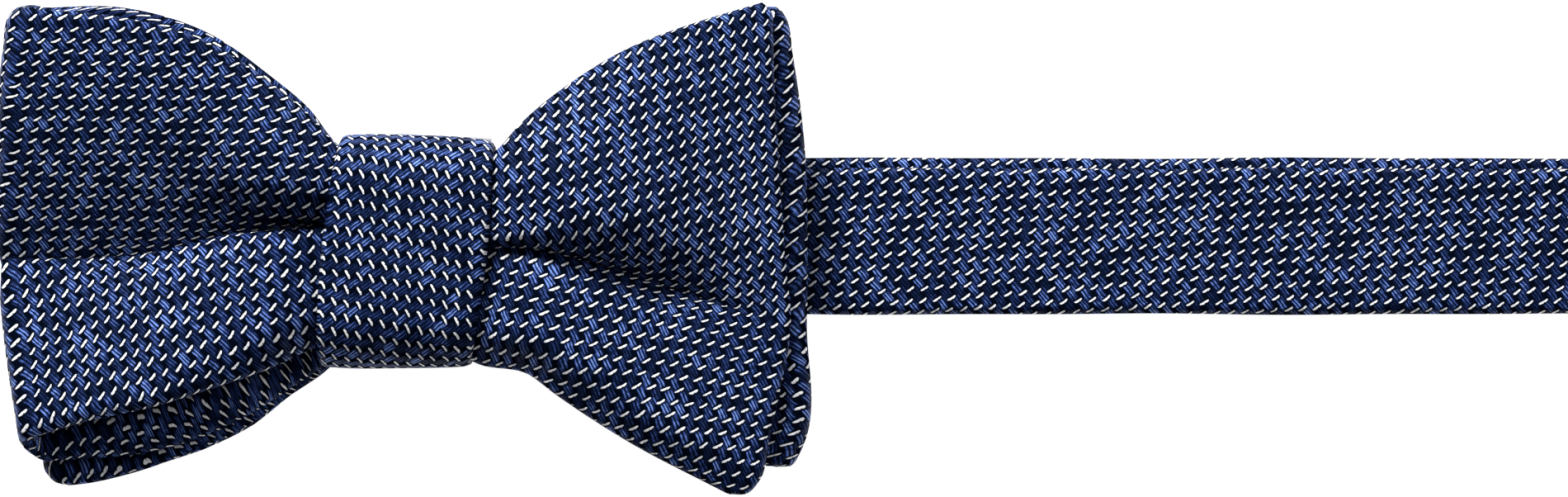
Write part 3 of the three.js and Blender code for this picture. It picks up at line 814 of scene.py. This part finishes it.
BAND_WIDTH = 20.4
BAND = 1.4                      # thickness of the flat tube
BAND_LANES = 26                 # points across it
BAND_WAVES = 0.12               # how far its edges stray from straight lines
FRONT_Y = 1.3                   # middle of the front run
REAR_Y = 2.8                    # middle of the rear run
REAR_RUN_Z = 0.7
FRONT_RUN_Z = 3.5
KNOT_RUN_Z = 4.5                # the front run where it passes through the knot
FOLD_X = -22.0
HOOK_X = 184.0
EYE_X = 214.0
SLIDE_X = 171.0
RUN_START_X = FOLD_X - 0.28     # both runs start 0.02 beside the ends of the fold
RUN_END_X = HOOK_X - 0.02       # and the front run ends 0.02 beside the hook's loop
LOOP_RADIUS = 1.0               # of the loop round the slide's middle bar
METAL = 1.0                     # thickness of the fittings' bars
HOOK_BAR_Z = FRONT_RUN_Z + BAND / 2 + METAL / 2 + 0.25
EYE_BAR_Z = REAR_RUN_Z + METAL / 2 + 0.2 + BAND / 2
SLIDE_BAR_Z = FRONT_RUN_Z + BAND / 2 + 1.7


def ribbon(name, path, y, start_u, body, node, thickness=BAND, dense=1.0, waves=0.0):
    """A flat band whose middle follows (x, z) points; its front face is on the left of its direction.

    dense is above 1 on cloth that is drawn together at rest, since it stretches when the slide moves.
    """
    path = np.array(path, float)
    flow = unit(np.gradient(path, axis=0))
    out = np.column_stack([-flow[:, 1], flow[:, 0]])
    lane = np.linspace(-1, 1, BAND_LANES)
    lane = np.sign(lane) * np.abs(lane) ** 0.8
    across = np.broadcast_to(np.asarray(y, float), (len(path),))[:, None]
    wobble = waves * (np.sin(path[:, :1] / 9.0) * 0.6 + np.sin(path[:, :1] / 4.7 + 1.0) * 0.4)
    x = path[:, :1] + 0 * lane
    middle = np.dstack([x, across + lane * (BAND_WIDTH / 2 + 0 * x) + wobble * lane, path[:, 1:] + 0 * lane])
    normal = np.dstack([out[:, :1] + 0 * lane, 0 * x, out[:, 1:] + 0 * lane])
    u = arc_from(middle, 0) * dense + start_u
    grain = np.dstack([u, lane * BAND_WIDTH / 2 + 0 * u])
    piece = padded_strip(name, middle, normal, grain, thickness, SILK, end_round=False)
    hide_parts(*node)
    if body:
        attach(piece, body)
    return piece


def straight(x0, z0, x1, z1, count):
    """A straight path of (x, z) points."""
    return list(zip(np.linspace(x0, x1, count), np.linspace(z0, z1, count)))


def half_turn(x, z, radius, side, count=14):
    """Half a circle round (x, z), from its lowest point to its highest, on one side."""
    angles = np.linspace(0, np.pi, count)
    return [(x + side * radius * math.sin(a), z - radius * math.cos(a)) for a in angles]


def front_run():
    xs = np.linspace(RUN_START_X, RUN_END_X, 300)
    drop = smoothstep((xs - 28) / 17)
    zs = KNOT_RUN_Z + (FRONT_RUN_Z - KNOT_RUN_Z) * drop
    piece = ribbon(
        "front_band_silk_cloth",
        list(zip(xs, zs)),
        FRONT_Y,
        float(xs[0]),
        None,
        ("front_band_silk", "front_band_interlining", "adjuster_tail"),
        waves=BAND_WAVES,
    )
    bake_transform(piece)
    return piece


def rear_run():
    path = straight(RUN_START_X, REAR_RUN_Z, EYE_X - 0.5, REAR_RUN_Z, 260)
    path += half_turn(EYE_X, EYE_BAR_Z, EYE_BAR_Z - REAR_RUN_Z, 1)
    for t in np.linspace(0.15, 2, 8):
        path.append((EYE_X - 3 * t, EYE_BAR_Z + 1.4 - 0.7 * smoothstep(t / 2) * 1.1))
    turned_in_z = REAR_RUN_Z + BAND + 0.25
    path += straight(EYE_X - 6.6, turned_in_z, EYE_X - 12, turned_in_z, 10)
    return ribbon(
        "rear_band_silk_cloth",
        path,
        REAR_Y,
        0.0,
        "rear_band",
        ("rear_band_silk", "rear_band_interlining"),
        waves=BAND_WAVES,
    )


def band_fold():
    radius = (KNOT_RUN_Z - REAR_RUN_Z) / 2
    path = half_turn(FOLD_X - 0.3, REAR_RUN_Z + radius, radius, -1, 24)
    y = np.linspace(REAR_Y, FRONT_Y, 24)
    piece = ribbon("band_fold_cloth", path, y, -6.0, None, ("band_fold",))
    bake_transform(piece)
    return piece


def hook_end():
    """The loop round the hook's bar, and the run back from it to the slide."""
    radius = HOOK_BAR_Z - FRONT_RUN_Z
    turn = half_turn(HOOK_X, HOOK_BAR_Z, radius, 1, 20)
    loop = ribbon("hook_loop_cloth", turn, FRONT_Y, HOOK_X, "hook_carrier", ("hook_loop",))
    x0, z0 = RUN_END_X, HOOK_BAR_Z + radius
    x1, z1 = SLIDE_X + 3.4, SLIDE_BAR_Z + LOOP_RADIUS
    back = ribbon(
        "adjuster_return_cloth",
        straight(x0, z0, x1, z1, 20),
        FRONT_Y,
        HOOK_X + 6,
        None,
        ("adjuster_return",),
        dense=1.5,
    )
    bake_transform(back)
    return loop, back


def slide_loop():
    low, high = SLIDE_BAR_Z - LOOP_RADIUS, SLIDE_BAR_Z + LOOP_RADIUS
    path = straight(SLIDE_X + 3.2, high, SLIDE_X - 0.4, high, 8)
    path += half_turn(SLIDE_X - 0.5, SLIDE_BAR_Z, LOOP_RADIUS, -1)[::-1]
    path += straight(SLIDE_X - 0.4, low, SLIDE_X + 3.2, low, 8)
    return ribbon("slide_end_loop_cloth", path, FRONT_Y, 0.0, "slide", ("slide_end_loop",), thickness=0.8)


front_band, rear_band = front_run(), rear_run()
turned_pieces = [band_fold(), *hook_end(), slide_loop()]

# ---- metal and thread ---------------------------------------------------------------------------

EDGE_ROUNDING = 0.22
METAL_FITTINGS = (("slide_buckle", "slide"), ("hook", "hook_fitting"), ("eye", "eye_fitting"))


def rounded_copy(node, body):
    """A metal CAD node's shape with its sharp edges rounded over."""
    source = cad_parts[node]
    piece = bpy.data.objects.new(f"{node}_rounded", source.data.copy())
    scene.collection.objects.link(piece)
    piece.matrix_world = source.matrix_world.copy()
    piece.data.materials.clear()
    piece.data.materials.append(NICKEL)
    weld = piece.modifiers.new("weld", "WELD")
    weld.merge_threshold = 0.00001
    flat = piece.modifiers.new("flat", "DECIMATE")
    flat.decimate_type = "DISSOLVE"
    flat.angle_limit = math.radians(2)
    bevel = piece.modifiers.new("bevel", "BEVEL")
    bevel.width = EDGE_ROUNDING * MM
    bevel.segments = 3
    bevel.limit_method = "ANGLE"
    bevel.angle_limit = math.radians(28)
    bevel.use_clamp_overlap = True
    graph = bpy.context.evaluated_depsgraph_get()
    mesh = bpy.data.meshes.new_from_object(piece.evaluated_get(graph))
    piece.modifiers.clear()
    piece.data = mesh
    mesh.polygons.foreach_set("use_smooth", [True] * len(mesh.polygons))
    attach(piece, body)
    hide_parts(node)


for fitting, fitting_body in METAL_FITTINGS:
    rounded_copy(fitting, fitting_body)
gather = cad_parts["gather_thread"]
gather.data.materials.clear()
gather.data.materials.append(THREAD)


STITCH_SIDES = 6
STITCH_POINTS = 9


def stitch_row(node, body, count, row, outwards):
    """Short raised stitches side by side along one axis, in the space of a CAD node that stands for them."""
    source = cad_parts[node]
    corners = np.array([source.matrix_world @ Vector(corner) for corner in source.bound_box]) / MM
    low, high = corners.min(axis=0), corners.max(axis=0)
    across = 1 - row
    radius = 0.55 * (high[row] - low[row]) / count
    share = np.linspace(0, 1, STITCH_POINTS)
    turn = np.linspace(0, 2 * np.pi, STITCH_SIDES, endpoint=False)
    base, height = (low[2], high[2] - low[2]) if outwards > 0 else (high[2], low[2] - high[2])
    vertices, faces = [], []
    for k in range(count):
        middle = np.zeros((len(share), 3))
        middle[:, row] = low[row] + (high[row] - low[row]) * (k + 0.5 + 0.3 * (share - 0.5)) / count
        middle[:, across] = low[across] + (high[across] - low[across]) * share + 0.08 * math.sin(k * 2.4)
        middle[:, 2] = base + height * np.sin(np.pi * (0.04 + 0.92 * share)) ** 0.6
        start = len(vertices)
        for i, point in enumerate(middle):
            for angle in turn:
                offset = np.zeros(3)
                offset[row], offset[2] = radius * math.cos(angle), 0.8 * radius * math.sin(angle)
                vertices.append(point + offset)
            ring = start + STITCH_SIDES * i
            for j in range(STITCH_SIDES if i else 0):
                a, b = ring + j, ring + (j + 1) % STITCH_SIDES
                faces.append((a - STITCH_SIDES, b - STITCH_SIDES, b, a))
        faces.append(tuple(start + j for j in range(STITCH_SIDES))[::-1])
        faces.append(tuple(ring + j for j in range(STITCH_SIDES)))
    piece = build(f"{node}_stitches", vertices, faces, None, THREAD)
    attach(piece, body)
    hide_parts(node)


stitch_row("eye_bartack", "rear_band", 26, 1, 1)
stitch_row("slide_bartack", "slide", 26, 1, 1)
stitch_row("knot_seam_thread", "bow", 16, 0, -1)

# ---- floor and light ----------------------------------------------------------------------------


def area_light(name, place, target, size, power):
    data = bpy.data.lights.new(name, "AREA")
    data.shape = "RECTANGLE"
    data.size, data.size_y = size
    data.energy = power
    light = bpy.data.objects.new(name, data)
    light.location = place
    light.rotation_euler = (Vector(target) - Vector(place)).to_track_quat("-Z", "Y").to_euler()
    scene.collection.objects.link(light)


def floor():
    size, z = 1200.0, -0.15
    corners = [(-size, -size, z), (size, -size, z), (size, size, z), (-size, size, z)]
    material, tree, shader = new_material("white_table")
    shader.inputs["Base Color"].default_value = (0.3, 0.3, 0.3, 1)
    shader.inputs["Roughness"].default_value = 0.9
    shader.inputs["Emission Color"].default_value = (1, 1, 1, 1)
    shader.inputs["Emission Strength"].default_value = 0.96
    table = build("table", corners, [(0, 1, 2, 3)], None, material, smooth=False)


floor()
area_light("key", (-0.3, 0.9, 0.5), (0.03, 0, 0), (0.5, 0.3), 25.2)
area_light("fill", (1.0, 0.25, 0.62), (0.05, 0, 0), (0.6, 0.5), 4.2)
area_light("low_fill", (-0.45, -0.75, 0.75), (0.0, 0, 0), (0.5, 0.3), 1.0)
world = bpy.data.worlds.new("studio")
scene.world = world
world.use_nodes = True
world.node_tree.nodes["Background"].inputs[0].default_value = (1, 1, 1, 1)
world.node_tree.nodes["Background"].inputs[1].default_value = 0.11
scene.view_settings.view_transform = "Standard"
scene.view_settings.look = "None"
